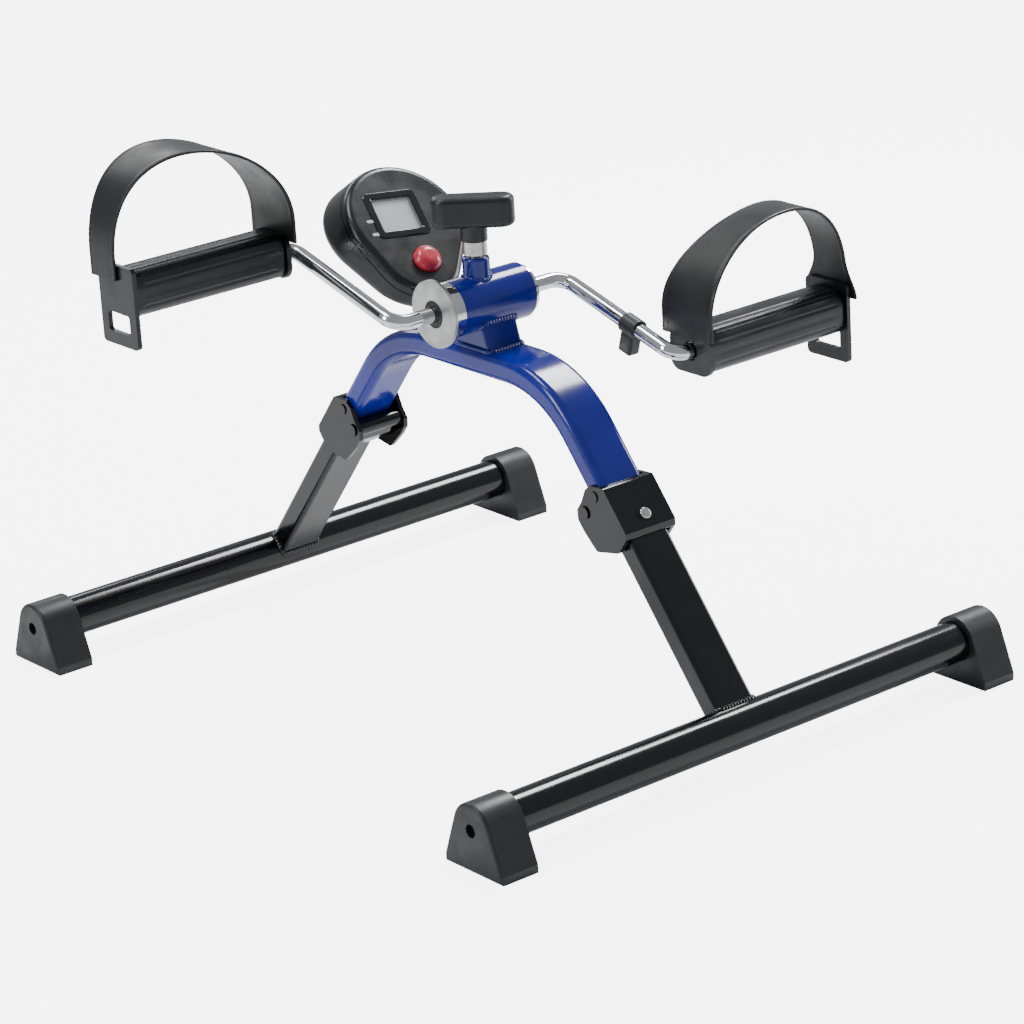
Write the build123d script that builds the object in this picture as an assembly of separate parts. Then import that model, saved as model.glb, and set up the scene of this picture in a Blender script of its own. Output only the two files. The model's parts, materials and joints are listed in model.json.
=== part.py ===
from build123d import *
from math import cos, radians, sin, tan
import os

# Folding pedal exerciser, in millimetres. +Z is up, X runs along the crank axle, the user sits at -Y.
# The origin is on the floor, midway between the two floor bars.

# Floor bars and feet
SPAN_X = 400.0            # over the outer faces of the feet
BAR_SPACING = 439.0       # centre to centre of the floor bars
BAR_OD = 25.4
BAR_WALL = 1.5
BAR_Z = 25.5
FOOT_LENGTH = 26.0
FOOT_BASE = 50.0
FOOT_RADIUS = 16.0
FOOT_END_WALL = 6.0
FOOT_DIMPLE_R = 4.0

# Arch and legs: flat-sided tubes in the plane x = 0
ARCH_TOP = 204.5          # centreline height of the flat top
ARCH_BEND = 74.0          # centreline radius of its two bends
ARCH_WIDTH = 32.0
ARCH_THICK = 16.0
ARCH_CORNER = 5.0
LEG_ANGLE = 51.4          # slope of the legs and arch ends below the horizontal
LEG_WIDTH = 29.0
LEG_THICK = 15.0
LEG_CORNER = 3.0
TUBE_WALL = 1.5
LEG_Y, LEG_Z = 130.5, 133.7   # the middle of each folding bracket, on the tube's centreline

# Folding bracket, in its own frame: s down along the leg, n outwards
ARCH_END_S = -9.0
LEG_START_S = -6.0
PIN_S, PIN_N = -12.3, -13.9
PIN_R = 2.5
BARREL_R = 5.0
RUNNING_FIT = 0.05
BRACKET_INNER_X = 16.2
BRACKET_PLATE = 3.0
WEB_IN, WEB_OUT = 8.0, 11.5
RIVET_S, RIVET_N = -16.0, 0.5
PLUNGER_S = 5.7
PLUNGER_R = 2.5
PLUNGER_HEAD_R = 3.6
PLUNGER_HEAD = 2.4
PLUNGER_GAP = 0.3         # between the tip and the leg's face
PLUNGER_TIP = 1.5         # length of the blunt cone at its tip
DIMPLE_DEPTH = 1.8        # of the seat in the leg, below the tip

# Crank
CRANK_X = -3.0            # the middle of the rod, between its two arms
CRANK_Y, CRANK_Z = -5.0, 238.7
SHELL_R = 17.0
SHELL_BORE_R = 14.0
SHELL_LEFT, SHELL_RIGHT = -27.0, 27.0
LEFT_RING, RIGHT_RING = 9.5, 3.5
WASHER_THICK = 2.0
ROD_R = 4.75
ROD_BEND = 11.0
ARM_X = 64.0
ARM_LENGTH = 105.0
ARM_TILT = 16.0           # the left arm points back and this far up
SPINDLE_END = 181.0       # from the middle of the rod, as ARM_X is
BEARING_LENGTH = 9.0

MAGNET_REACH = 66.0       # from the axle to the magnet, along the right arm
CLIP_LENGTH = 12.0
LOBE_DROP = 18.0

# Pedals: lengths from the middle of the rod, the rest from the pedal's axis
PEDAL_INNER, PEDAL_OUTER = 76.0, 190.2
PEDAL_PLATE = 3.0
PEDAL_DEPTH = 32.0
PEDAL_HEIGHT = 28.0
PEDAL_CORNER = 9.0
PEDAL_BORE_R = 9.0
BUSH_LENGTH = 14.0
PLATE_DEPTH = 36.0
PLATE_LIP = 4.0           # how far the outer plate stands above the grip
TAB_DROP = 31.5
TAB_SLOT = (22.0, 12.0)
STRAP_THICK = 2.6
STRAP_WIDTH = 44.0
STRAP_RISE = {-1: 80.0, 1: 74.0}
STRAP_BASE = 9.0          # height of the strap's lower ends above the pedal's axis
STRAP_SIDE = 14.0         # height of the straight part of each strap end

# Tension control
TENSION_X = -4.5
BOSS_R = 8.3
BOSS_TOP = 267.0
SCREW_R = 3.9
SCREW_GAP = 0.1
KNOB_BOTTOM = 277.0
KNOB_TOP = 304.5
KNOB_ANGLE = -42.0
WING_LENGTH, WING_WIDTH, WING_HEIGHT = 50.0, 17.0, 19.0
HUB_R = 8.0
KNOB_WASHER_R, KNOB_WASHER = 7.3, 8.2
SHOE_HALF = 9.0

# Display
FACE_POINT = (0.0, 67.5, 279.4)   # level with the middle of the screen, on the face
FACE_TILT = 43.0                  # the face leans back from the horizontal
FACE_ROLL = 8.0                   # the head sits a little turned on its bracket
HEAD_R = 39.0                     # of the face; the case widens towards its back
HEAD_Q = -3.2
CHIN_R = 27.5
CHIN_P, CHIN_Q = -2.9, -29.5
HEAD_DEPTH = 27.0                 # at HEAD_Q
HEAD_FLARE = 14.0
BACK_LEAN = 10.0                  # the back leans away from the face towards the top
BLANK_DEPTH = 44.0
FRONT_ROUND = 5.0
CASE_WALL = 2.2
CASE_SPLIT = 6.0
SCREEN_P = -6.0
WINDOW = (27.5, 24.0)
BUTTON_Q = -34.8
BUTTON_R = 9.0
BUTTON_CROWN = 6.0
BOARD_W = -12.0
BRACKET_STRIP = 3.0

os.makedirs("parts", exist_ok=True)


def save(node, shape):
    solids = shape.solids() if hasattr(shape, "solids") else [s for one in shape for s in one.solids()]
    part = solids[0] if len(solids) == 1 else Compound(children=list(solids))
    part.label = node
    export_step(part, f"parts/{node}.step")


def rod_x(radius, x0, x1, y, z):
    """A cylinder along X from x0 to x1."""
    return Pos((x0 + x1) / 2, y, z) * Rot(0, 90, 0) * Cylinder(radius, x1 - x0)


def tube_x(outer, inner, x0, x1, y, z):
    return rod_x(outer, x0, x1, y, z) - rod_x(inner, x0 - 1, x1 + 1, y, z)


def block(x0, x1, y0, y1, z0, z1):
    return Pos((x0 + x1) / 2, (y0 + y1) / 2, (z0 + z1) / 2) * Box(x1 - x0, y1 - y0, z1 - z0)


def to_rear(shape):
    """The rear side is the front side mirrored in the plane y = 0."""
    return mirror(shape, Plane.XZ)


# ---------------------------------------------------------------- frames
slope = radians(LEG_ANGLE)
down = Vector(0, -cos(slope), -sin(slope))
out = Vector(0, -sin(slope), cos(slope))
bracket = Plane(origin=(0, -LEG_Y, LEG_Z), x_dir=down, z_dir=(-1, 0, 0))
bar_y = -BAR_SPACING / 2


def at(s, n, x=0.0):
    """A point of the front bracket's frame, in the whole object's frame."""
    return Vector(x, -LEG_Y, LEG_Z) + down * s + out * n


def across(sketch, half_width):
    """A sketch in the bracket's (s, n) frame, made this thick to both sides of x = 0."""
    return extrude(bracket * sketch, half_width, both=True)


def along_out(s, n0, n1, r0, r1=None):
    """A round pin or a cone that points out of the bracket, between two n."""
    seat = Plane(origin=at(s, n0), x_dir=(1, 0, 0), z_dir=out)
    height = n1 - n0
    solid = Cylinder(r0, height) if r1 is None else Cone(r0, r1, height)
    return seat * Pos(0, 0, height / 2) * solid


# ---------------------------------------------------------------- arch
def arch_tube():
    end = at(ARCH_END_S, 0)
    corner_y = end.Y + (ARCH_TOP - end.Z) / tan(slope)
    points = [(0, end.Y, end.Z), (0, corner_y, ARCH_TOP), (0, -corner_y, ARCH_TOP), (0, -end.Y, end.Z)]
    path = FilletPolyline(*points, radius=ARCH_BEND)
    start = Plane(origin=end, x_dir=(1, 0, 0), z_dir=-down)
    outer = sweep(start * RectangleRounded(ARCH_WIDTH, ARCH_THICK, ARCH_CORNER), path=path)
    inner_size = (ARCH_WIDTH - 2 * TUBE_WALL, ARCH_THICK - 2 * TUBE_WALL, ARCH_CORNER - TUBE_WALL)
    inner = sweep(start * RectangleRounded(*inner_size), path=path)
    tube = outer - inner
    hole = rivet_hole()
    return tube - hole - to_rear(hole)


def rivet_hole():
    middle = at(RIVET_S, RIVET_N)
    return rod_x(2.05, -30, 30, middle.Y, middle.Z)


# ---------------------------------------------------------------- folding bracket
def leg_bracket():
    plate = make_face(Polyline((-23, -4), (-18.6, -12.5), (-17, -19), (-12, -22.5), (-4.4, -22.5),
                               (6.5, -21), (11, -20), (20, -3), (17, 9), (13.7, WEB_OUT),
                               (-16, WEB_OUT), (-23, 1.6), (-23, -4)))
    body = across(plate, BRACKET_INNER_X + BRACKET_PLATE)
    body = fillet(body.edges().filter_by(Axis.X), 1.6)
    room = make_face(Polyline((-40, -40), (40, -40), (40, WEB_IN), (-40, WEB_IN), (-40, -40)))
    body -= across(room, BRACKET_INNER_X)
    pin, plunger = at(PIN_S, PIN_N), along_out(PLUNGER_S, WEB_IN - 1, WEB_OUT + 1, PLUNGER_R + 0.06)
    return body - rod_x(PIN_R, -30, 30, pin.Y, pin.Z) - plunger - rivet_hole()


def headed_pin(s, n, radius, head_r, head):
    """A pin along X through both side plates, with a flat head at each end."""
    centre, side = at(s, n), BRACKET_INNER_X + BRACKET_PLATE
    pin = rod_x(radius, -side - head, side + head, centre.Y, centre.Z)
    for sign in (-1, 1):
        ends = sorted((sign * side, sign * (side + head)))
        pin += rod_x(head_r, *ends, centre.Y, centre.Z)
    return pin


def lock_plunger():
    """Pulled outwards it lets the leg go; its blunt tip stands over a dimple of the leg."""
    low = LEG_THICK / 2 + PLUNGER_GAP
    shank = along_out(PLUNGER_S, low + PLUNGER_TIP, WEB_OUT, PLUNGER_R)
    tip = along_out(PLUNGER_S, low, low + PLUNGER_TIP, 0.15, PLUNGER_R)
    head = along_out(PLUNGER_S, WEB_OUT, WEB_OUT + PLUNGER_HEAD, PLUNGER_HEAD_R)
    head = fillet(head.edges().sort_by(Axis((0, 0, 0), tuple(out)))[-1], 1.0)
    return shank + tip + head


# ---------------------------------------------------------------- legs
def leg_tube():
    bar_s = (Vector(0, bar_y, BAR_Z) - Vector(0, -LEG_Y, LEG_Z)).dot(down)
    seat = Plane(origin=at(LEG_START_S, 0), x_dir=(1, 0, 0), z_dir=down)
    length = bar_s - LEG_START_S
    outer = extrude(seat * RectangleRounded(LEG_WIDTH, LEG_THICK, LEG_CORNER), length)
    inner_size = (LEG_WIDTH - 2 * TUBE_WALL, LEG_THICK - 2 * TUBE_WALL, LEG_CORNER - TUBE_WALL)
    tube = outer - extrude(seat * RectangleRounded(*inner_size), length)
    tube -= rod_x(BAR_OD / 2, -50, 50, bar_y, BAR_Z)
    face = LEG_THICK / 2
    dimple = along_out(PLUNGER_S, face - DIMPLE_DEPTH, face + 0.3, 0.3, PLUNGER_R + 0.85)
    return tube - dimple


def hinge_knuckle():
    """A block welded on the leg's inner face, with a barrel for the hinge pin."""
    face = -LEG_THICK / 2
    lug = make_face(Polyline((LEG_START_S + 1.5, face), (18, face), (14, face - 3), (-4, PIN_N - 4),
                             (PIN_S, PIN_N - 3), (PIN_S, PIN_N + 3), (LEG_START_S - 2, face - 2.4),
                             (LEG_START_S + 1.5, face)))
    pin, half = at(PIN_S, PIN_N), BRACKET_INNER_X - 0.6
    block_part = across(lug, LEG_WIDTH / 2 - 3.5)
    barrel = rod_x(BARREL_R, -half, half, pin.Y, pin.Z)
    return block_part + barrel - rod_x(PIN_R + RUNNING_FIT, -30, 30, pin.Y, pin.Z)


def floor_bar():
    half = SPAN_X / 2 - FOOT_END_WALL
    return tube_x(BAR_OD / 2, BAR_OD / 2 - BAR_WALL, -half, half, bar_y, BAR_Z)


def foot(side):
    """A rubber shoe: a round sleeve over the bar's end, flared to a flat base."""
    outline = Pos(0, BAR_Z) * Circle(FOOT_RADIUS) + Pos(0, 2.5) * Rectangle(FOOT_BASE, 5)
    profile = make_face(make_hull(outline.edges()).edges())
    seat = Plane(origin=(side * SPAN_X / 2, bar_y, 0), x_dir=(0, -side, 0), z_dir=(-side, 0, 0))
    body = extrude(seat * profile, FOOT_LENGTH)
    body = fillet(body.faces().sort_by(Axis.X)[-1 if side > 0 else 0].edges(), 2.0)
    inner = SPAN_X / 2 - FOOT_END_WALL
    ends = sorted((side * inner, side * (inner - 60)))
    body -= rod_x(BAR_OD / 2 + RUNNING_FIT, *ends, bar_y, BAR_Z)
    dimple = sorted((side * (SPAN_X / 2 - 4), side * (SPAN_X / 2 + 4)))
    return body - rod_x(FOOT_DIMPLE_R, *dimple, bar_y, BAR_Z)


# ---------------------------------------------------------------- crank housing
def crank_shell():
    shell = tube_x(SHELL_R, SHELL_BORE_R, SHELL_LEFT, SHELL_RIGHT, CRANK_Y, CRANK_Z)
    return shell - Pos(TENSION_X, CRANK_Y, CRANK_Z + 15) * Cylinder(SCREW_R + SCREW_GAP, 30)


def shell_saddle():
    top = ARCH_TOP + ARCH_THICK / 2
    web = make_face(Polyline((CRANK_Y - 19, top), (CRANK_Y + 19, top), (CRANK_Y + 13, CRANK_Z - 6),
                             (CRANK_Y - 13, CRANK_Z - 6), (CRANK_Y - 19, top)))
    web = extrude(Plane.YZ * web, 13, both=True)
    web = fillet(web.edges().filter_by(Axis.Z, tolerance=20), 3)
    return web - rod_x(SHELL_R, -50, 50, CRANK_Y, CRANK_Z)


def tension_boss():
    boss = Pos(TENSION_X, CRANK_Y, (CRANK_Z + BOSS_TOP) / 2) * Cylinder(BOSS_R, BOSS_TOP - CRANK_Z)
    boss = fillet(boss.edges().sort_by(Axis.Z)[-1], 1.5)
    boss -= rod_x(SHELL_R, -50, 50, CRANK_Y, CRANK_Z)
    return boss - Pos(TENSION_X, CRANK_Y, CRANK_Z + 30) * Cylinder(SCREW_R + SCREW_GAP, 60)


def bearing(side):
    mouth = SHELL_RIGHT if side > 0 else SHELL_LEFT
    ends = sorted((mouth, mouth - side * BEARING_LENGTH))
    return tube_x(SHELL_BORE_R - 0.02, ROD_R + RUNNING_FIT, *ends, CRANK_Y, CRANK_Z)


# ---------------------------------------------------------------- crank
tilt = radians(ARM_TILT)
arm = Vector(0, cos(tilt), sin(tilt)) * ARM_LENGTH
axle = Vector(CRANK_X, CRANK_Y, CRANK_Z)
pedal_axis = {-1: axle + arm, 1: axle - arm}


def crank_rod():
    left, right = pedal_axis[-1], pedal_axis[1]
    x_left, x_right = CRANK_X - ARM_X, CRANK_X + ARM_X
    points = [(CRANK_X - SPINDLE_END, left.Y, left.Z), (x_left, left.Y, left.Z), (x_left, CRANK_Y, CRANK_Z),
              (x_right, CRANK_Y, CRANK_Z), (x_right, right.Y, right.Z),
              (CRANK_X + SPINDLE_END, right.Y, right.Z)]
    path = FilletPolyline(*points, radius=ROD_BEND)
    start = Plane(origin=points[0], x_dir=(0, 1, 0), z_dir=(1, 0, 0))
    return sweep(start * Circle(ROD_R), path=path)


def magnet_seat():
    """The frame of the magnet clip: its z runs outwards along the right arm, its y points up."""
    along = -arm.normalized()
    middle = axle + along * MAGNET_REACH + Vector(ARM_X, 0, 0)
    return Plane(origin=middle, x_dir=(1, 0, 0), z_dir=along)


def magnet_holder():
    """A snap-on ring round the right arm, with a lobe below it that holds the magnet."""
    ring = Cylinder(ROD_R + 1.5, CLIP_LENGTH)
    lobe = Pos(0, -LOBE_DROP / 2 - 2, 0) * Box(9, LOBE_DROP - 4, CLIP_LENGTH - 1)
    lobe = fillet(lobe.edges(), 2.0)
    magnet = magnet_seat() * Pos(-3.2, 4 - LOBE_DROP, 0) * Rot(0, 90, 0) * Cylinder(3.0, 2.6)
    holder = magnet_seat() * (ring + lobe - Cylinder(ROD_R + 0.02, 60))
    return holder - magnet, magnet


def axle_collars():
    left_face, right_face = SHELL_LEFT + BEARING_LENGTH, SHELL_RIGHT - BEARING_LENGTH
    collars = []
    for x0, x1 in ((left_face + 0.4, left_face + 4), (right_face - 4, right_face - 0.4)):
        collars.append(tube_x(8.5, ROD_R + 0.02, x0, x1, CRANK_Y, CRANK_Z))
    return collars


def spindle_nuts():
    nuts = []
    for side in (-1, 1):
        ends = sorted((CRANK_X + side * (SPINDLE_END - 3), CRANK_X + side * SPINDLE_END))
        nuts.append(tube_x(7.5, ROD_R + 0.02, *ends, pedal_axis[side].Y, pedal_axis[side].Z))
    return nuts


# ---------------------------------------------------------------- pedals
def on_pedal(side, sketch, x0, x1):
    """A sketch of the pedal's section (Y, Z) drawn between two distances from the rod's middle."""
    axis = pedal_axis[side]
    seat = Plane(origin=(CRANK_X + side * x0, axis.Y, axis.Z), x_dir=(0, side, 0), z_dir=(side, 0, 0))
    return extrude(seat * sketch, x1 - x0)


def pedal_grip(side):
    inner, outer = PEDAL_INNER + PEDAL_PLATE, PEDAL_OUTER - PEDAL_PLATE
    bar = on_pedal(side, RectangleRounded(PEDAL_DEPTH, PEDAL_HEIGHT, PEDAL_CORNER), inner, outer)
    bar -= on_pedal(side, Circle(PEDAL_BORE_R), inner - 1, outer + 1)
    ribs = Rectangle(2, PEDAL_HEIGHT - 6) + Rectangle(PEDAL_DEPTH - 6, 2)
    ribs = (ribs - Circle(7.2)) & Circle(PEDAL_BORE_R + 0.2)
    return bar + on_pedal(side, ribs, inner + BUSH_LENGTH + 6, outer - BUSH_LENGTH - 12)


def pedal_bushes(side):
    inner, outer = PEDAL_INNER + PEDAL_PLATE, SPINDLE_END - 3.4
    ring = Circle(PEDAL_BORE_R - 0.03) - Circle(ROD_R + RUNNING_FIT)
    return [on_pedal(side, ring, x0, x0 + BUSH_LENGTH) for x0 in (inner, outer - BUSH_LENGTH)]


def inner_plate(side):
    outline = Pos(0, -0.5) * RectangleRounded(PLATE_DEPTH, PEDAL_HEIGHT - 1, 8)
    plate = on_pedal(side, outline, PEDAL_INNER, PEDAL_INNER + PEDAL_PLATE)
    return plate - on_pedal(side, Circle(ROD_R + 1.2), 60, 90)


def outer_plate(side):
    """The outboard end plate, with a slotted tab below for the strap's tail."""
    top = PEDAL_HEIGHT / 2 + PLATE_LIP
    outline = Pos(0, (top - TAB_DROP) / 2) * RectangleRounded(PLATE_DEPTH, top + TAB_DROP, 3)
    slot = Pos(0, -TAB_DROP + 14) * RectangleRounded(*TAB_SLOT, 2)
    return on_pedal(side, outline - slot, PEDAL_OUTER - PEDAL_PLATE, PEDAL_OUTER)


def strap(side):
    """A moulded band over the foot: two straight ends and an elliptical arch."""
    axis = pedal_axis[side]
    x_in, x_out = PEDAL_INNER - STRAP_THICK, PEDAL_OUTER + STRAP_THICK
    centre, half = CRANK_X + side * (x_in + x_out) / 2, (x_out - x_in) / 2
    base = axis.Z + STRAP_BASE
    spring = base + STRAP_SIDE
    top = axis.Z + STRAP_RISE[side]

    def arch(inset):
        ellipse = Pos(centre, spring) * Ellipse(half - inset, top - spring - inset)
        upper = ellipse & Pos(centre, spring + 100) * Rectangle(400, 200)
        lower = Pos(centre, (base + spring) / 2 - inset) * Rectangle(2 * (half - inset), spring - base + 2 * inset)
        return upper + lower

    band = (arch(0) & Pos(centre, base + 200) * Rectangle(400, 400)) - arch(STRAP_THICK)
    seat = Plane(origin=(0, axis.Y, 0), x_dir=(1, 0, 0), z_dir=(0, -1, 0))
    return extrude(seat * band, STRAP_WIDTH / 2, both=True)


# ---------------------------------------------------------------- tension control
def on_screw(z0, z1, radius):
    """A cylinder on the tension screw's line, between two heights."""
    return Pos(TENSION_X, CRANK_Y, (z0 + z1) / 2) * Cylinder(radius, z1 - z0)


def tension_knob():
    """A wing knob: a thick bar with round ends on a round hub."""
    low = KNOB_TOP - WING_HEIGHT
    wings = extrude(SlotOverall(WING_LENGTH, WING_WIDTH), WING_HEIGHT)
    wings = Pos(TENSION_X, CRANK_Y, low) * Rot(0, 0, KNOB_ANGLE) * wings
    flats = wings.faces().sort_by(Axis.Z)
    knob = fillet(flats[-1].edges() + flats[0].edges(), 3.5)
    return knob + on_screw(KNOB_BOTTOM, low + 2, HUB_R) - on_screw(KNOB_BOTTOM - 1, KNOB_BOTTOM + 18, SCREW_R)


def tension_screw():
    return on_screw(CRANK_Z + ROD_R + 6, KNOB_BOTTOM + 18, SCREW_R)


def knob_washer():
    z0 = KNOB_BOTTOM - KNOB_WASHER
    return on_screw(z0, KNOB_BOTTOM, KNOB_WASHER_R) - on_screw(z0 - 1, KNOB_BOTTOM + 1, SCREW_R)


def brake_shoe():
    """Rides on the screw's tip and is pressed towards the crank rod."""
    x0, x1 = TENSION_X - SHOE_HALF, TENSION_X + SHOE_HALF
    pad = block(x0, x1, CRANK_Y - 6, CRANK_Y + 6, CRANK_Z + ROD_R + 1.7, CRANK_Z + ROD_R + 5.9)
    return pad - rod_x(ROD_R + 1.7, x0 - 5, x1 + 5, CRANK_Y, CRANK_Z)


# ---------------------------------------------------------------- display
lean, roll = radians(FACE_TILT), radians(FACE_ROLL)
face_up = Vector(0, cos(lean), sin(lean))
face_out = Vector(0, -sin(lean), cos(lean))
face_right = Vector(1, 0, 0) * cos(roll) - face_up * sin(roll)
face = Plane(origin=FACE_POINT, x_dir=face_right, z_dir=face_out)


def head(inset):
    """The display's head as a solid, shrunk by inset: it flares and deepens from face to back."""
    flare = BLANK_DEPTH * tan(radians(HEAD_FLARE)) - inset
    circles = Pos(0, HEAD_Q) * Circle(HEAD_R + flare) + Pos(CHIN_P, CHIN_Q) * Circle(CHIN_R + flare)
    outline = make_face(make_hull(circles.edges()).edges())
    body = extrude(face * Pos(0, 0, -BLANK_DEPTH) * outline, BLANK_DEPTH - inset, taper=HEAD_FLARE)
    back = face * Pos(0, HEAD_Q, inset - HEAD_DEPTH) * Rot(-BACK_LEAN, 0, 0)
    body -= back * Pos(0, 0, -50) * Box(200, 200, 100)
    front = body.faces().sort_by(Axis((0, 0, 0), tuple(face_out)))[-1]
    return fillet(front.edges(), FRONT_ROUND - inset)


def slab(w0, w1):
    return face * Pos(0, 0, (w0 + w1) / 2) * Box(200, 200, w1 - w0)


def on_face(p, q, w0, w1, sketch):
    return extrude(face * Pos(p, q, w0) * sketch, w1 - w0)


def display():
    skin = head(0) - head(CASE_WALL)
    front, rear = skin & slab(-CASE_SPLIT, 10), skin & slab(-60, -CASE_SPLIT)
    width, height = WINDOW
    front -= on_face(SCREEN_P, 0, -10, 5, RectangleRounded(width + 0.2, height + 0.2, 2))
    front -= on_face(0, BUTTON_Q, -10, 5, Circle(BUTTON_R + 0.4))
    save("display_face", front)
    save("display_back", rear)
    save("display_window", on_face(SCREEN_P, 0, -1.8, -0.3, RectangleRounded(width, height, 1.9)))
    save("lcd_panel", on_face(SCREEN_P, 0, -4.6, -1.9, Rectangle(width - 2, height - 2)))
    frame_ring = Rectangle(width + 2, height + 2) - Rectangle(width - 4, height - 4)
    board_top = BOARD_W + 1.6
    save("lcd_holder", on_face(SCREEN_P, 0, board_top, -4.7, frame_ring))
    save("circuit_board", on_face(0, -11, BOARD_W, board_top, RectangleRounded(36, 58, 3)))
    save("battery_cell", face * Pos(0, 17, BOARD_W - 7) * Rot(0, 90, 0) * Cylinder(5.25, 44.5))
    save("button_switch", on_face(0, BUTTON_Q, board_top, -6.0, Rectangle(6, 6)))
    save("reed_switch", face * Pos(12, -22, board_top + 1.6) * Rot(90, 0, 0) * Cylinder(1.3, 14))
    cap = on_face(0, BUTTON_Q, -4.2, BUTTON_CROWN, Circle(BUTTON_R))
    crown = cap.edges().sort_by(Axis((0, 0, 0), tuple(face_out)))[-1]
    save("display_button", fillet(crown, BUTTON_CROWN))


def on_back(q, w):
    """The (Y, Z) of a point w behind the head's back plane, at q along the face."""
    depth = HEAD_DEPTH + (q - HEAD_Q) * tan(radians(BACK_LEAN)) + w
    point = Vector(*FACE_POINT) + face_up * q - face_out * depth
    return point.Y, point.Z


def display_bracket():
    """A bent steel strap from the arch's top up to the back of the display."""
    low = ARCH_TOP + ARCH_THICK / 2
    thick = BRACKET_STRIP
    profile = Polyline((16, low), (40, low), on_back(-34, thick), on_back(-12, thick), on_back(-12, 0),
                       on_back(-35, 0), (37.6, low + thick), (16, low + thick), (16, low))
    strip = extrude(Plane.YZ * make_face(profile), 10, both=True)
    return strip - head(0)


def bracket_screws():
    top = ARCH_TOP + ARCH_THICK / 2 + BRACKET_STRIP
    return [Pos(x, 25, top + 1.1) * Cylinder(3.2, 2.2) for x in (-5.5, 5.5)]


# ---------------------------------------------------------------- write the nodes
def main():
    save("arch_tube", arch_tube())
    save("crank_shell", crank_shell())
    save("shell_saddle", shell_saddle())
    save("tension_boss", tension_boss())
    save("left_bearing", bearing(-1))
    save("right_bearing", bearing(1))
    ring_end = SHELL_LEFT - LEFT_RING
    save("left_lock_ring", tube_x(SHELL_R, 6.5, ring_end, SHELL_LEFT, CRANK_Y, CRANK_Z))
    save("right_lock_ring", tube_x(15, 6.5, SHELL_RIGHT, SHELL_RIGHT + RIGHT_RING, CRANK_Y, CRANK_Z))
    save("left_dust_washer", tube_x(20.75, 8.5, ring_end - WASHER_THICK, ring_end, CRANK_Y, CRANK_Z))

    rivet = headed_pin(RIVET_S, RIVET_N, 2.0, 3.4, 0.8)
    save("bracket_rivets", [rivet, to_rear(rivet)])
    front = {
        "leg_bracket": leg_bracket(),
        "hinge_pin": headed_pin(PIN_S, PIN_N, PIN_R, 4.0, 1.2),
        "lock_plunger": lock_plunger(),
        "leg_tube": leg_tube(),
        "hinge_knuckle": hinge_knuckle(),
        "floor_bar": floor_bar(),
        "left_foot": foot(-1),
        "right_foot": foot(1),
    }
    for name, shape in front.items():
        save(f"front_{name}", shape)
        save(f"rear_{name}", to_rear(shape))

    save("crank_rod", crank_rod())
    save("axle_collars", axle_collars())
    save("spindle_nuts", spindle_nuts())
    holder, magnet = magnet_holder()
    save("magnet_holder", holder)
    save("crank_magnet", magnet)

    for name, side in (("left", -1), ("right", 1)):
        save(f"{name}_pedal_grip", pedal_grip(side))
        save(f"{name}_pedal_bushes", pedal_bushes(side))
        save(f"{name}_pedal_inner_plate", inner_plate(side))
        save(f"{name}_pedal_outer_plate", outer_plate(side))
        save(f"{name}_pedal_strap", strap(side))

    save("tension_knob", tension_knob())
    save("tension_screw", tension_screw())
    save("knob_washer", knob_washer())
    save("brake_shoe", brake_shoe())

    display()
    save("display_bracket", display_bracket())
    save("bracket_screws", bracket_screws())


main()
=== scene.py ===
import json
from math import cos, pi, radians, sin, tan

import bmesh
import bpy
import numpy as np
from mathutils import Matrix, Vector


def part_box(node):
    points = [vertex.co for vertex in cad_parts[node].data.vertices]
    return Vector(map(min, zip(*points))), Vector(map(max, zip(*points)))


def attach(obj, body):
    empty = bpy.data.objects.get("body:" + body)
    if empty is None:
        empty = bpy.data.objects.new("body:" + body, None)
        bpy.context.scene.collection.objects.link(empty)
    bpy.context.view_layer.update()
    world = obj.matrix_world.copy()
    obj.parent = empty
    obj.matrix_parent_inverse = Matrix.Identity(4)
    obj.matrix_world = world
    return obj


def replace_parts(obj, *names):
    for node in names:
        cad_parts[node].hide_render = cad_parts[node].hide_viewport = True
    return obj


# A folding pedal exerciser, in metres. +Z is up, X runs along the crank axle, the user sits at -Y.
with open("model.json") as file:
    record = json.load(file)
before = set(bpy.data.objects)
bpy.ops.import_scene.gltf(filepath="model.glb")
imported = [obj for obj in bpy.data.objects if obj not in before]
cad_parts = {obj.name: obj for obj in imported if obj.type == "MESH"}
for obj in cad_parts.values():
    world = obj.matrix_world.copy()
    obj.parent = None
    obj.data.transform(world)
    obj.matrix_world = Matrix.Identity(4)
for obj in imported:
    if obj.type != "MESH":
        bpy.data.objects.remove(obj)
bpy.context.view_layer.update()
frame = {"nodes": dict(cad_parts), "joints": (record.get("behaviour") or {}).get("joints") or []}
nodes = frame["nodes"]
joints = {joint["name"]: joint for joint in frame["joints"]}
MM = 0.001


# ---------------------------------------------------------------- studio
# A white sweep under a softbox and a top panel, with panels on three sides, as for a catalogue.
# The surroundings are dimmer to reflections than to the eye, which keeps gloss black really black.
CAMERA_AZIMUTH, CAMERA_ELEVATION, CAMERA_ROLL = radians(-38.239), radians(19.947), radians(-3.466)
CAMERA_DISTANCE = 2.407
CAMERA_TARGET = Vector((0.00941, -0.00742, 0.10168))
LENS_MM = 138.8

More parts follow.
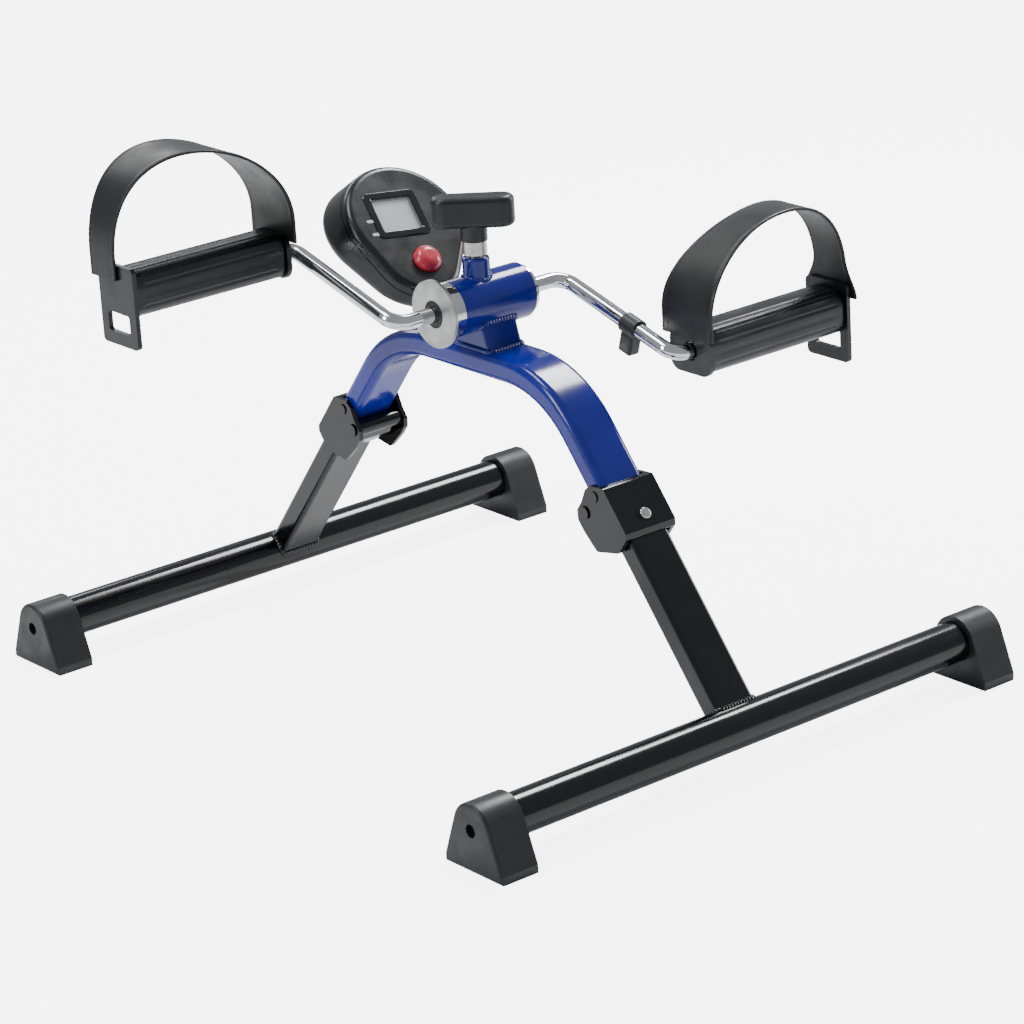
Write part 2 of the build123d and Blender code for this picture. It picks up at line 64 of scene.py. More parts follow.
back = Vector((sin(CAMERA_AZIMUTH) * cos(CAMERA_ELEVATION),
               -cos(CAMERA_AZIMUTH) * cos(CAMERA_ELEVATION), sin(CAMERA_ELEVATION)))
level = Vector((cos(CAMERA_AZIMUTH), sin(CAMERA_AZIMUTH), 0))
right = level * cos(CAMERA_ROLL) + back.cross(level) * sin(CAMERA_ROLL)
up = back.cross(right)
camera = bpy.data.objects.new("camera", bpy.data.cameras.new("camera"))
camera.data.lens = LENS_MM
camera.data.sensor_width = 36.0
camera.data.clip_end = 50.0
camera.matrix_world = Matrix((right, up, back)).transposed().to_4x4()
camera.location = CAMERA_TARGET + back * CAMERA_DISTANCE
bpy.context.scene.collection.objects.link(camera)
bpy.context.scene.camera = camera


def linear(code):
    """An sRGB colour such as "1A2B3C" as the linear RGBA that a shader takes."""
    channels = np.array([int(code[i:i + 2], 16) for i in (0, 2, 4)]) / 255
    curve = np.where(channels <= 0.04045, channels / 12.92, ((channels + 0.055) / 1.055) ** 2.4)
    return (*curve.tolist(), 1.0)


def add(tree, kind, settings=(), values=(), links=()):
    """Adds one node with its own settings, its sockets' fixed values and its links."""
    node = tree.nodes.new(kind)
    for key, value in dict(settings).items():
        setattr(node, key, value)
    for key, value in dict(values).items():
        node.inputs[key].default_value = value
    for key, source in dict(links).items():
        tree.links.new(source, node.inputs[key])
    return node


def softbox(name, place, aim, size, watts):
    """A rectangular light of size = (width, height), at place and turned to aim."""
    data = bpy.data.lights.new(name, "AREA")
    data.shape = "RECTANGLE"
    data.size, data.size_y = size
    data.energy = watts
    light = bpy.data.objects.new(name, data)
    light.location = place
    light.rotation_euler = (Vector(aim) - Vector(place)).to_track_quat("-Z", "Y").to_euler()
    bpy.context.scene.collection.objects.link(light)


softbox("overhead_softbox", (1.15, 0.4, 1.65), (0, 0, 0.2), (0.6, 0.5), 34)
softbox("top_panel", (-0.5, 0.5, 2.0), (0, 0, 0.15), (0.9, 0.5), 16)
softbox("left_panel", (-1.9, 0.3, 1.2), (0, 0, 0.15), (0.4, 1.3), 20)
softbox("right_panel", (1.9, -0.5, 0.75), (0, 0, 0.15), (0.4, 1.0), 18)
softbox("rear_panel", (0.3, 2.0, 1.3), (0, 0, 0.15), (1.5, 0.4), 14)

world = bpy.data.worlds.new("white_studio")
bpy.context.scene.world = world
world.use_nodes = True
world.node_tree.nodes.clear()
seen = add(world.node_tree, "ShaderNodeLightPath")
dim = add(world.node_tree, "ShaderNodeBackground", values={"Color": linear("F2F5FA"), "Strength": 0.42})
bright = add(world.node_tree, "ShaderNodeBackground", values={"Color": linear("FFFFFF"), "Strength": 7.0})
either = add(world.node_tree, "ShaderNodeMixShader",
             links={0: seen.outputs["Is Camera Ray"], 1: dim.outputs[0], 2: bright.outputs[0]})
add(world.node_tree, "ShaderNodeOutputWorld", links={"Surface": either.outputs[0]})


def grid_piece(name, points, body, material, sharp=35.0):
    """A closed piece from a grid of points (rings, points per ring, 3), in metres.
    The last point of a ring joins its first, and the last ring joins the first one. Rings that
    shrink to one point close an end. It rides on a body and wears one material."""
    rings, count = points.shape[:2]
    index = np.arange(rings * count).reshape(rings, count)
    index = np.concatenate([index, index[:, :1]], 1)
    index = np.concatenate([index, index[:1]], 0)
    faces = np.stack([index[:-1, :-1], index[:-1, 1:], index[1:, 1:], index[1:, :-1]], -1).reshape(-1, 4)
    mesh = bpy.data.meshes.new(name)
    mesh.from_pydata(points.reshape(-1, 3).tolist(), [], faces.tolist())
    solid = bmesh.new()
    solid.from_mesh(mesh)
    bmesh.ops.remove_doubles(solid, verts=solid.verts, dist=1e-7)
    bmesh.ops.dissolve_degenerate(solid, edges=solid.edges, dist=1e-8)
    bmesh.ops.delete(solid, geom=[edge for edge in solid.edges if not edge.link_faces], context="EDGES")
    bmesh.ops.recalc_face_normals(solid, faces=solid.faces)
    solid.to_mesh(mesh)
    solid.free()
    mesh.shade_smooth()
    mesh.set_sharp_from_angle(angle=radians(sharp))
    mesh.materials.append(material)
    piece = bpy.data.objects.new(name, mesh)
    bpy.context.scene.collection.objects.link(piece)
    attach(piece, body)
    return piece


def finish(name, shades, metallic, rough, mottle_mm, grain_mm, grain_um, coat=0.0, stretch=(1, 1, 1)):
    """A finish on object coordinates. shades are its lighter and darker colour, mixed by a broad
    mottle that also moves the roughness between the two values of rough. A fine grain gives the bump.
    mottle_mm and grain_mm are the sizes of the patterns, grain_um is the grain's height."""
    material = bpy.data.materials.new(name)
    material.use_nodes = True
    tree = material.node_tree
    tree.nodes.clear()
    place = add(tree, "ShaderNodeTexCoord")
    drawn = add(tree, "ShaderNodeMapping", values={"Scale": stretch},
                links={"Vector": place.outputs["Object"]})
    mottle = add(tree, "ShaderNodeTexNoise", values={"Scale": 1 / (mottle_mm * MM), "Detail": 4.0},
                 links={"Vector": drawn.outputs[0]})
    grain = add(tree, "ShaderNodeTexNoise", values={"Scale": 1 / (grain_mm * MM), "Detail": 2.0},
                links={"Vector": drawn.outputs[0]})
    share = add(tree, "ShaderNodeMapRange", values={"From Min": 0.35, "From Max": 0.65},
                links={"Value": mottle.outputs["Fac"]})
    shade = add(tree, "ShaderNodeMix", {"data_type": "RGBA"}, {6: linear(shades[0]), 7: linear(shades[1])},
                {0: share.outputs[0]})
    gloss = add(tree, "ShaderNodeMapRange", values={"To Min": rough[0], "To Max": rough[1]},
                links={"Value": share.outputs[0]})
    bump = add(tree, "ShaderNodeBump", values={"Distance": grain_um * 1e-6},
               links={"Height": grain.outputs["Fac"]})
    shader = add(tree, "ShaderNodeBsdfPrincipled",
                 values={"Metallic": metallic, "Coat Weight": coat, "Coat Roughness": 0.04},
                 links={"Base Color": shade.outputs[2], "Roughness": gloss.outputs[0],
                        "Normal": bump.outputs[0]})
    add(tree, "ShaderNodeOutputMaterial", links={"Surface": shader.outputs[0]})
    return material


def dress(material, *names):
    """Gives CAD nodes their material."""
    for name in names:
        nodes[name].data.materials.clear()
        nodes[name].data.materials.append(material)


floor_mesh = bpy.data.meshes.new("studio_floor")
floor_mesh.from_pydata([(-6, -6, 0), (6, -6, 0), (6, 6, 0), (-6, 6, 0)], [], [(0, 1, 2, 3)])
white_sweep = finish("white_sweep", ("FFFFFF", "FCFCFD"), 0.0, (0.60, 0.70), 400, 60, 1)
# The sweep glows to the camera alone, so it looks white without lighting the object from below.
SWEEP_GLOW = 5.0
glow = white_sweep.node_tree.nodes["Principled BSDF"]
glow.inputs["Emission Color"].default_value = linear("FFFFFF")
straight = add(white_sweep.node_tree, "ShaderNodeLightPath")
level_up = add(white_sweep.node_tree, "ShaderNodeMath", {"operation": "MULTIPLY"}, {1: SWEEP_GLOW},
               {0: straight.outputs["Is Camera Ray"]})
white_sweep.node_tree.links.new(level_up.outputs[0], glow.inputs["Emission Strength"])
floor_mesh.materials.append(white_sweep)
floor = bpy.data.objects.new("studio_floor", floor_mesh)
bpy.context.scene.collection.objects.link(floor)


# ---------------------------------------------------------------- floor bars and legs
# Round steel floor bars and flat-sided steel legs, dipped in gloss black enamel and stoved.
# Each leg is fillet-welded to the middle of its bar, under the enamel.
LEG_SLOPE = radians(51.4)
LEG_WIDTH, LEG_THICK, LEG_CORNER = 29 * MM, 15 * MM, 3 * MM
PIVOT_INSET = 13.9 * MM       # from the leg's centreline in to its hinge pin
BEAD_R = 1.7 * MM

# Stoved enamel flows to a hard gloss with a faint orange peel of about 2.5 mm.
black_enamel = finish("stoved_black_enamel", ("08080A", "050506"), 0.0, (0.14, 0.20), 35, 2.5, 14)
dress(black_enamel, *(f"{end}_{part}" for end in ("front", "rear")
                      for part in ("floor_bar", "leg_tube", "hinge_knuckle", "leg_bracket")))


def rounded_rectangle(width, height, corner, count=48):
    """Points round a rectangle: each of its four corner centres plus a quarter turn of the corner's
    radius, so the straight sides are the gaps between the turns."""
    turn = (np.arange(count) + 0.5) / count * 2 * pi
    across = (width / 2 - corner) * np.sign(np.cos(turn)) + corner * np.cos(turn)
    along = (height / 2 - corner) * np.sign(np.sin(turn)) + corner * np.sin(turn)
    return across, along


def even_loop(path, count):
    """A closed loop of points, read again at equal steps along its length."""
    loop = np.concatenate([path, path[:1]])
    length = np.concatenate([[0], np.cumsum(np.linalg.norm(np.diff(loop, axis=0), axis=1))])
    steps = np.linspace(0, length[-1], count, endpoint=False)
    return np.stack([np.interp(steps, length, loop[:, i]) for i in range(3)], -1), length[-1]


def weld_bead(name, path, outward, radius, body, material):
    """A weld bead: a circle carried round a closed path, whose radius ripples 10% every 2.2 mm.
    outward is the direction that the bead bulges in, for each point of the path or for all."""
    path, length = even_loop(path, 320)
    tangent = np.roll(path, -1, 0) - np.roll(path, 1, 0)
    tangent /= np.linalg.norm(tangent, axis=1, keepdims=True)
    side = np.cross(tangent, np.broadcast_to(outward, path.shape))
    side /= np.linalg.norm(side, axis=1, keepdims=True)
    top = np.cross(side, tangent)
    ripples = round(length / (2.2 * MM))
    swell = radius * (1 + 0.10 * np.sin(np.arange(len(path)) / len(path) * 2 * pi * ripples))
    turn = np.linspace(0, 2 * pi, 12, endpoint=False)
    ring = np.cos(turn)[None, :, None] * side[:, None] + np.sin(turn)[None, :, None] * top[:, None]
    return grid_piece(name, path[:, None] + swell[:, None, None] * ring, body, material)


for end, toward in (("front", -1), ("rear", 1)):
    low, high = (np.array(corner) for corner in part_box(f"{end}_floor_bar"))
    bar = (low + high) / 2
    bar_r = (high[2] - low[2]) / 2
    down = np.array([0, toward * cos(LEG_SLOPE), -sin(LEG_SLOPE)])
    out = np.array([0, toward * sin(LEG_SLOPE), cos(LEG_SLOPE)])
    middle = np.array(joints[f"{end}_leg_fold"]["pos_m"]) + out * PIVOT_INSET
    reach, shift = (bar - middle) @ down, (bar - middle) @ out
    x, n = rounded_rectangle(LEG_WIDTH, LEG_THICK, LEG_CORNER)
    s = reach - np.sqrt(bar_r ** 2 - (n - shift) ** 2)
    seam = middle + s[:, None] * down + n[:, None] * out
    seam[:, 0] = x
    weld_bead(f"{end}_leg_weld", seam, -down, BEAD_R, f"{end}_leg", black_enamel)


# ---------------------------------------------------------------- feet
# Injection-moulded rubber shoes pushed over the ends of the bars, with a mould parting line.
# Rubber is matt, with a fine spark-eroded grain of under a millimetre, and takes up dust.
foot_rubber = finish("moulded_foot_rubber", ("15171C", "0E1013"), 0.0, (0.38, 0.50), 12, 0.7, 30)
dress(foot_rubber, *(f"{end}_{side}_foot" for end in ("front", "rear") for side in ("left", "right")))


# ---------------------------------------------------------------- folding brackets
# Pressed steel channels riveted to the arch; rivets and hinge pins are enamelled over with them.
# The lock plungers, screws and knob washer are zinc-plated.
# Zinc plate is bright but not a mirror, with a slightly warm bloom.
zinc = finish("zinc_plate", ("C9CBC8", "AFB1AD"), 1.0, (0.22, 0.36), 6, 0.8, 6)
bare_steel = finish("bare_steel", ("A4A6A8", "8C8E90"), 1.0, (0.30, 0.42), 8, 0.9, 8)
dress(zinc, "front_lock_plunger", "rear_lock_plunger", "bracket_screws", "knob_washer")
dress(black_enamel, "front_hinge_pin", "rear_hinge_pin", "bracket_rivets")
dress(bare_steel, "axle_collars", "spindle_nuts", "tension_screw")


# ---------------------------------------------------------------- arch and crank housing
# One bent flat-sided tube, with the crank's round housing welded on top by a folded saddle.
# The whole weldment is sprayed in a deep royal blue gloss enamel under a clear coat.
blue_enamel = finish("royal_blue_enamel", ("131F8C", "0E1874"), 0.0, (0.12, 0.18), 45, 2.5, 10)
dress(blue_enamel, "arch_tube", "crank_shell", "shell_saddle", "tension_boss")
dress(black_enamel, "display_bracket")

SADDLE_ROUND = 3 * MM
shell_low, shell_high = (np.array(corner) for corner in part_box("crank_shell"))
shell_middle, shell_r = (shell_low + shell_high) / 2, (shell_high[1] - shell_low[1]) / 2
saddle_low, saddle_high = (np.array(corner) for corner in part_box("shell_saddle"))
saddle_middle, saddle_size = (saddle_low + saddle_high) / 2, saddle_high - saddle_low

x, y = rounded_rectangle(saddle_size[0], saddle_size[1], SADDLE_ROUND)
seam = saddle_middle + np.stack([x, y, np.full_like(x, -saddle_size[2] / 2)], -1)
weld_bead("saddle_foot_weld", seam, (0, 0, 1), BEAD_R, "frame", blue_enamel)

SADDLE_GRIP = radians(56)     # half the angle of the housing that the saddle's top embraces
x, roll_round = rounded_rectangle(saddle_size[0], 2 * SADDLE_GRIP * shell_r, SADDLE_ROUND)
lean = roll_round / shell_r
seam = np.stack([x, shell_middle[1] + shell_r * np.sin(lean), shell_middle[2] - shell_r * np.cos(lean)], -1)
weld_bead("saddle_top_weld", seam, (0, 0, -1), BEAD_R, "frame", blue_enamel)

boss_low, boss_high = (np.array(corner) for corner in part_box("tension_boss"))
boss_middle, boss_r = (boss_low + boss_high) / 2, (boss_high[0] - boss_low[0]) / 2
turn = np.linspace(0, 2 * pi, 96, endpoint=False)
dy = boss_r * np.sin(turn)
seam = np.stack([boss_middle[0] + boss_r * np.cos(turn), boss_middle[1] + dy,
                 shell_middle[2] + np.sqrt(shell_r ** 2 - dy ** 2)], -1)
weld_bead("boss_weld", seam, (0, 0, 1), BEAD_R * 0.8, "frame", blue_enamel)


# ---------------------------------------------------------------- crank
# One cold-bent steel rod, polished and chromed, makes both arms and both pedal spindles.
# Chrome is a near mirror; drawing the rod left faint streaks along it.
chrome = finish("polished_chrome", ("E6E7EA", "D4D6DA"), 1.0, (0.05, 0.10), 14, 1.2, 3)
dress(chrome, "crank_rod", "left_lock_ring", "right_lock_ring")

# The dust washer is turned from zinc-plated steel: its face keeps rings about 0.8 mm apart.
turned_zinc = finish("turned_zinc", ("BDC0BC", "A9ACA8"), 1.0, (0.34, 0.46), 9, 0.8, 5)
tree = turned_zinc.node_tree
place = next(node for node in tree.nodes if node.type == "TEX_COORD")
bump = next(node for node in tree.nodes if node.type == "BUMP")
centred = add(tree, "ShaderNodeMapping",
              values={"Location": (0.0, -shell_middle[1], -shell_middle[2]), "Scale": (0.0, 1.0, 1.0)},
              links={"Vector": place.outputs["Object"]})
rings = add(tree, "ShaderNodeTexWave", {"wave_type": "RINGS", "rings_direction": "SPHERICAL"},
            {"Scale": 2 / (0.8 * MM * 20), "Distortion": 0.0}, {"Vector": centred.outputs[0]})
tree.links.new(rings.outputs["Fac"], bump.inputs["Height"])
dress(turned_zinc, "left_dust_washer")

# Lip seals of black rubber close the gap between the rod and the rings at both ends. Their black is also
# painted shade: it stands in for the shadow inside the bores round the rod.
SEAL_GAP = 0.15 * MM          # from the rod out to the lip
SEAL_INSET, SEAL_THICK = 0.5 * MM, 1.2 * MM
LEFT_SEAL_R, RIGHT_SEAL_R = 8.4 * MM, 6.4 * MM
ROD_R = 4.75 * MM
# Near-black rubber, painted shade for the shadowed bores round the rod.
bore_shade_rubber = finish("black_bore_shade_rubber", ("0D0D0F", "08080A"), 0.0, (0.45, 0.55), 8, 0.7, 10)


def seal(name, x0, x1, outer_r):
    """A ring round the rod: a rectangle in (X, radius) with a lip, spun about the crank axle."""
    lip = (x1 - x0) * 0.4
    section = [(x0, outer_r), (x1, outer_r), (x1, ROD_R + SEAL_GAP), (x0 - lip, ROD_R + SEAL_GAP),
               (x0 - lip, ROD_R + 2 * SEAL_GAP + lip / 2)]
    turn = np.linspace(0, 2 * pi, 72, endpoint=False)
    rings = [np.stack([np.full_like(turn, x), shell_middle[1] + radius * np.cos(turn),
                       shell_middle[2] + radius * np.sin(turn)], -1) for x, radius in section]
    grid_piece(name, np.stack(rings), "frame", bore_shade_rubber, 30)


left_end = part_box("left_dust_washer")[0][0] + SEAL_INSET
right_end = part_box("right_lock_ring")[1][0] - SEAL_INSET
seal("left_bore_shade_seal", left_end, left_end + SEAL_THICK, LEFT_SEAL_R)
seal("right_bore_shade_seal", right_end, right_end - SEAL_THICK, RIGHT_SEAL_R)

# The magnet clip and the bearings are plain injection mouldings.
clip_plastic = finish("black_acetal", ("1B1B1F", "141417"), 0.0, (0.36, 0.48), 10, 0.8, 12)
dress(clip_plastic, "magnet_holder")
dress(finish("natural_nylon", ("D9D6CC", "CBC7BB"), 0.0, (0.40, 0.50), 10, 0.8, 8),
      "left_bearing", "right_bearing", "left_pedal_bushes", "right_pedal_bushes", "lcd_holder")
dress(finish("ferrite_magnet", ("4A4A4C", "3A3A3C"), 0.0, (0.45, 0.60), 4, 0.5, 15), "crank_magnet")
dress(finish("felt_friction_pad", ("5C452F", "4A3726"), 0.0, (0.85, 0.95), 3, 0.5, 90), "brake_shoe")


# ---------------------------------------------------------------- pedals
# Each pedal is a moulded grip with lengthwise treads between two end plates, on nylon bushes.
# Polypropylene with a satin, lightly textured skin; the treads are worn a little smoother.
GRIP_SQUARENESS = 3.4         # exponent of the section: 2 is an ellipse, more is squarer
TREADS = 16
TREAD_DEPTH = 0.5 * MM
GRIP_CHAMFER = 1.2 * MM
BORE_R = 9.05 * MM

pedal_plastic = finish("satin_polypropylene", ("0F1013", "090A0C"), 0.0, (0.26, 0.38), 16, 0.8, 18)
dress(pedal_plastic, *(f"{side}_pedal_{part}_plate" for side in ("left", "right")
                       for part in ("inner", "outer")))


def grip_rings(width, height, x0, x1, middle):
    """Rings of the grip's outside, then of its bore. The outside is the superellipse
    |y/a|^n + |z/b|^n = 1, cut by sixteen narrow grooves whose depth is the tenth power of a cosine."""
    turn = np.linspace(0, 2 * pi, 256, endpoint=False)
    power = 2 / GRIP_SQUARENESS
    y = width / 2 * np.sign(np.cos(turn)) * np.abs(np.cos(turn)) ** power
    z = height / 2 * np.sign(np.sin(turn)) * np.abs(np.sin(turn)) ** power
    radius = np.hypot(y, z)
    angle = np.arctan2(z, y)
    groove = TREAD_DEPTH * np.abs(np.cos(angle * TREADS / 2)) ** 10
    rings = []
    for x, cut, deep in ((x0, GRIP_CHAMFER, 0), (x0 + GRIP_CHAMFER, 0, 0), (x0 + 6 * MM, 0, 0),
                         (x0 + 8 * MM, 0, 1), (x1 - 8 * MM, 0, 1), (x1 - 6 * MM, 0, 0),
                         (x1 - GRIP_CHAMFER, 0, 0), (x1, GRIP_CHAMFER, 0)):
        share = (radius - cut - deep * groove) / radius
        rings.append(np.stack([np.full_like(y, x), middle[1] + y * share, middle[2] + z * share], -1))
    for x in (x1, x0):
        rings.append(np.stack([np.full_like(y, x), middle[1] + BORE_R * np.cos(angle),
                               middle[2] + BORE_R * np.sin(angle)], -1))
    return np.stack(rings)


for side in ("left", "right"):
    low, high = (np.array(corner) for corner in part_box(f"{side}_pedal_grip"))
    middle = np.array(joints[f"{side}_pedal_spin"]["pos_m"])
    rings = grip_rings(high[1] - low[1], high[2] - low[2], low[0], high[0], middle)
    grip = grid_piece(f"{side}_pedal_tread", rings, f"{side}_pedal", pedal_plastic, 28)
    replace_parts(grip, f"{side}_pedal_grip")


# ---------------------------------------------------------------- foot straps
# Moulded rubber bands that spring up into an arch over the foot, thicker along both edges.
# They taper: the left one runs narrow at its outer end, the right one over its top.
STRAP_THICK, STRAP_WEB = 2.6 * MM, 1.9 * MM
STRAP_HALF = 22 * MM
STRAP_SIDE = 14 * MM          # straight length of each end
STRAP_LEAN = 12 * MM          # how far the arch leans outwards at its top

strap_rubber = finish("moulded_strap_rubber", ("0C0C0E", "070708"), 0.0, (0.36, 0.48), 20, 0.9, 22)


def smooth(value, start, stop):
    """0 before start, 1 after stop, and an S curve between them."""
    share = np.clip((value - start) / (stop - start), 0, 1)
    return share * share * (3 - 2 * share)


def strap_edges(side, t):
    """The strap's two edges in Y, in units of half its full width, along it from 0, inboard, to 1."""
    if side == "left":
        return -1 + 0.86 * smooth(t, 0.35, 0.92), np.ones_like(t)
    half = 1 - 0.38 * smooth(t, 0.12, 0.45) + 0.38 * smooth(t, 0.86, 1.0)
    return -half, half


def strap_rings(side, low, high):
    """Rings round the strap's section along its line: up one straight end, over half an ellipse that
    leans outwards by the square of the sine, and down the other. The section is a squared-off
    ellipse whose thickness grows from the web to the full value in the last tenth at each edge."""
    outward = -1 if side == "left" else 1
    half, rise = (high[0] - low[0] - STRAP_THICK) / 2, high[2] - low[2] - STRAP_SIDE - STRAP_THICK / 2
    t = np.linspace(0, 1, 161)
    straight = 0.09
    phi = pi * (1 - np.clip((t - straight) / (1 - 2 * straight), 0, 1))
    drop = STRAP_SIDE * (np.clip(1 - t / straight, 0, 1) + np.clip(1 - (1 - t) / straight, 0, 1))
    u = half * np.cos(phi) + STRAP_LEAN * np.sin(phi) ** 2
    v = rise * np.sin(phi) - drop
    centre_x, spring = (low[0] + high[0]) / 2, low[2] + STRAP_SIDE
    line = np.stack([centre_x + outward * u, 0 * u, spring + v], -1)
    tangent = np.gradient(line, axis=0)
    tangent /= np.linalg.norm(tangent, axis=1, keepdims=True)
    normal = np.cross(tangent, (0, 1, 0))
    first, last = strap_edges(side, t)
    middle_y = (low[1] + high[1]) / 2 + STRAP_HALF * (first + last) / 2
    half_width = STRAP_HALF * (last - first) / 2
    turn = np.linspace(0, 2 * pi, 64, endpoint=False) + pi / 64
    across = np.sign(np.cos(turn)) * np.abs(np.cos(turn)) ** 0.5
    proud = np.sign(np.sin(turn)) * np.abs(np.sin(turn)) ** 0.35
    thick = STRAP_WEB + (STRAP_THICK - STRAP_WEB) * smooth(np.abs(across), 0.84, 0.90)
    rings = (line[:, None] + (thick * proud / 2)[None, :, None] * normal[:, None])
    rings[..., 1] += middle_y[:, None] + half_width[:, None] * across
    ends = rings.mean(1, keepdims=True).repeat(len(turn), 1)
    return np.concatenate([ends[:1], rings, ends[-1:]])


def strap_piece(side):
    """One strap, filling the box of its plain CAD solid."""
    low, high = (np.array(corner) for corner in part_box(f"{side}_pedal_strap"))
    rings = strap_rings(side, low, high)
    return grid_piece(f"{side}_foot_strap", rings, f"{side}_pedal", strap_rubber, 40)


for side in ("left", "right"):
    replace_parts(strap_piece(side), f"{side}_pedal_strap")


# ---------------------------------------------------------------- tension knob
# A wing knob moulded on the brake's screw, in glass-filled nylon with a faint grained skin.
knob_plastic = finish("grained_nylon", ("17181C", "0F1013"), 0.0, (0.30, 0.42), 14, 0.8, 20)
dress(knob_plastic, "tension_knob")


# ---------------------------------------------------------------- display
# A small battery meter: a two-part ABS case, a glued clear window over the liquid crystal panel
# and a red rubber-feel button. The case's skin is satin with a fine eroded grain.
FACE_ROLL = radians(8)
SCREEN_P = -6 * MM            # the screen sits left of the face's middle line
WINDOW_DEPTH = 1.05 * MM      # from the face to the middle of the window's glass
WINDOW_SIZE = np.array([27.5, 24.0]) * MM

case_plastic = finish("satin_abs", ("101114", "0A0B0D"), 0.0, (0.24, 0.34), 18, 0.7, 12)
dress(finish("red_button_abs", ("D23A4C", "B92A3E"), 0.0, (0.22, 0.30), 8, 0.8, 5, coat=0.3),
      "display_button")
dress(finish("liquid_crystal_panel", ("B9C3C8", "AEB8BE"), 0.0, (0.30, 0.40), 16, 1.0, 1), "lcd_panel")
dress(finish("green_circuit_board", ("1E5B33", "17482A"), 0.0, (0.35, 0.45), 5, 0.8, 15), "circuit_board")
dress(finish("battery_sleeve", ("B8923C", "A07C2E"), 0.0, (0.25, 0.35), 12, 1.0, 3), "battery_cell")
dress(clip_plastic, "button_switch")

window_glass = finish("clear_acrylic", ("F4F8F8", "EEF3F4"), 0.0, (0.03, 0.05), 30, 3.0, 1)
window_glass.node_tree.nodes["Principled BSDF"].inputs["Alpha"].default_value = 0.14
dress(window_glass, "display_window", "reed_switch")

face_out = -np.array(joints["button_press"]["axis"])
face_up = np.cross(face_out, (1, 0, 0))
face_right = np.array([1, 0, 0]) * cos(FACE_ROLL) - face_up * sin(FACE_ROLL)
face_up = np.cross(face_out, face_right)
window_low, window_high = (np.array(corner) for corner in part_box("display_window"))
face_point = (window_low + window_high) / 2 - face_right * SCREEN_P + face_out * WINDOW_DEPTH


def on_face(p, q, w):
    """Points p to the right, q up and w out of the display's face."""
    p, q, w = np.broadcast_arrays(p, q, w)
    return face_point + p[..., None] * face_right + q[..., None] * face_up + w[..., None] * face_out


def face_ring(size, corner, w, centre):
    """A rounded rectangle of that size, w out of the face."""
    across, along = rounded_rectangle(size[0], size[1], corner, 64)
    return on_face(centre[0] + across, centre[1] + along, w)


# The case: its outline is the hull of two circles, which widens from the face to the back, and it
# is deeper towards its top. The two halves meet in a narrow parting groove.
HEAD_R, HEAD_Q = 39 * MM, -3.2 * MM
CHIN_R, CHIN_P, CHIN_Q = 27.5 * MM, -2.9 * MM, -29.5 * MM
HEAD_FLARE, BACK_LEAN = radians(14), radians(10)
HEAD_DEPTH = 27 * MM
CASE_SPLIT = 6 * MM
CASE_WALL = 2.2 * MM
GROOVE = 0.6 * MM
BACK_ROUND = 7 * MM
CASE_POINTS = 192


def case_outline():
    """The hull of the head's and the chin's circles: for each direction the point of whichever
    circle reaches furthest that way."""
    turn = (np.arange(CASE_POINTS) + 0.5) / CASE_POINTS * 2 * pi
    way = np.stack([np.cos(turn), np.sin(turn)], -1)
    head, chin = np.array([0, HEAD_Q]), np.array([CHIN_P, CHIN_Q])
    further = (head @ way.T + HEAD_R >= chin @ way.T + CHIN_R)[:, None]
    return np.where(further, head + way * HEAD_R, chin + way * CHIN_R), way


def case_ring(share, inset, rise=0.0):
    """A ring of the case. share runs from 0 at the face to 1 at the back plane, whose depth grows
    with q; inset pulls the ring in from the flared side, and rise lifts it towards the face."""
    outline, way = case_outline()
    depth = HEAD_DEPTH + (outline[:, 1] - HEAD_Q) * tan(BACK_LEAN)
    deep = share * depth - rise
    outline = outline + way * (deep * tan(HEAD_FLARE) - inset)[:, None]
    return on_face(outline[:, 0], outline[:, 1], -deep)


def rounded_edge(radius, steps=7):
    """(inset, distance along the side) pairs of a quarter round, from its flat end to its side."""
    turn = np.linspace(0, pi / 2, steps)
    return zip(radius * (1 - np.sin(turn)), radius * (1 - np.cos(turn)))


def to_split(share):
    """The rise that puts a ring of that share on the parting plane."""
    outline = case_outline()[0]
    return share * (HEAD_DEPTH + (outline[:, 1] - HEAD_Q) * tan(BACK_LEAN)) - CASE_SPLIT


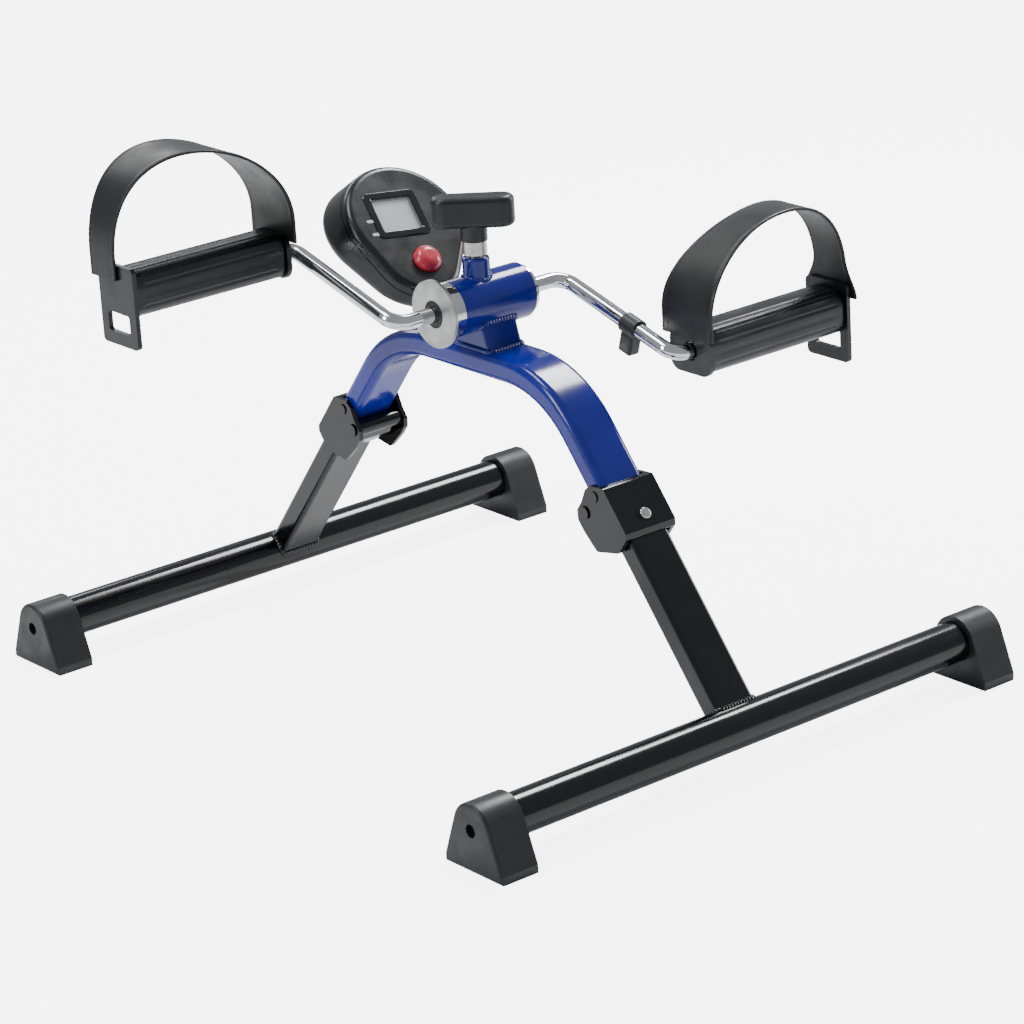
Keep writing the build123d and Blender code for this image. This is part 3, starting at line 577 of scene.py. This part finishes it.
back_rings = [case_ring(1, 2.5 * BACK_ROUND), case_ring(1, 1.6 * BACK_ROUND)]
back_rings += [case_ring(1, inset, rise) for inset, rise in rounded_edge(BACK_ROUND)]
back_rings += [case_ring(1, 0, to_split(1) - GROOVE), case_ring(1, GROOVE, to_split(1) - GROOVE),
               case_ring(1, GROOVE, to_split(1)), case_ring(1, CASE_WALL, to_split(1)),
               case_ring(1, CASE_WALL, CASE_WALL)]
middle_ring = on_face(np.full(CASE_POINTS, CHIN_P / 2), np.full(CASE_POINTS, (HEAD_Q + CHIN_Q) / 2),
                      np.full(CASE_POINTS, -HEAD_DEPTH + (HEAD_Q - CHIN_Q) / 2 * tan(BACK_LEAN)))
inner_middle = middle_ring + face_out * CASE_WALL
back_rings = np.stack([middle_ring, *back_rings, inner_middle])
case_back = grid_piece("meter_case_back", back_rings, "frame", case_plastic, 50)
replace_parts(case_back, "display_back")
dress(case_plastic, "display_face")

# The screen's surround is a separate gloss black frame, let in round the window. Its black is also painted
# shade: it stands in for the shadow that falls on the face round the screen's edge.
surround_black_shade = finish("gloss_black_surround_shade", ("0E0F12", "0A0B0D"), 0.0, (0.10, 0.16), 20, 2.0, 3, coat=0.5)
screen = (SCREEN_P, 0.0)
surround = np.stack([
    face_ring(WINDOW_SIZE + 9 * MM, 3.4 * MM, -0.6 * MM, screen),
    face_ring(WINDOW_SIZE + 9 * MM, 3.4 * MM, 0.35 * MM, screen),
    face_ring(WINDOW_SIZE + 8.2 * MM, 3.0 * MM, 0.7 * MM, screen),
    face_ring(WINDOW_SIZE + 1.2 * MM, 1.6 * MM, 0.7 * MM, screen),
    face_ring(WINDOW_SIZE - 0.4 * MM, 1.2 * MM, 0.0, screen),
    face_ring(WINDOW_SIZE - 0.4 * MM, 1.2 * MM, -0.25 * MM, screen),
    face_ring(WINDOW_SIZE + 1.2 * MM, 1.6 * MM, -0.25 * MM, screen)])
grid_piece("screen_surround", surround, "frame", surround_black_shade, 30)

# Two printed silver dashes left of the screen stand for the reading's legends.
silver_print = finish("silver_print", ("B4B8BC", "9EA2A6"), 0.6, (0.35, 0.45), 3, 0.5, 2)
DASH_SIZE = np.array([6.5, 2.2]) * MM
for number, q in ((1, -3.4 * MM), (2, -13.0 * MM)):
    centre = (-25.5 * MM, q)
    dash = [face_ring(DASH_SIZE, 0.9 * MM, w, centre) for w in (-0.2 * MM, 0.15 * MM)]
    dash.append(face_ring(DASH_SIZE - 0.3 * MM, 0.75 * MM, 0.25 * MM, centre))
    middles = [on_face(np.full(64, centre[0]), np.full(64, centre[1]), w) for w in (0.25 * MM, -0.2 * MM)]
    grid_piece(f"legend_dash_{number}", np.stack([*dash, *middles]), "frame",
               silver_print, 30)
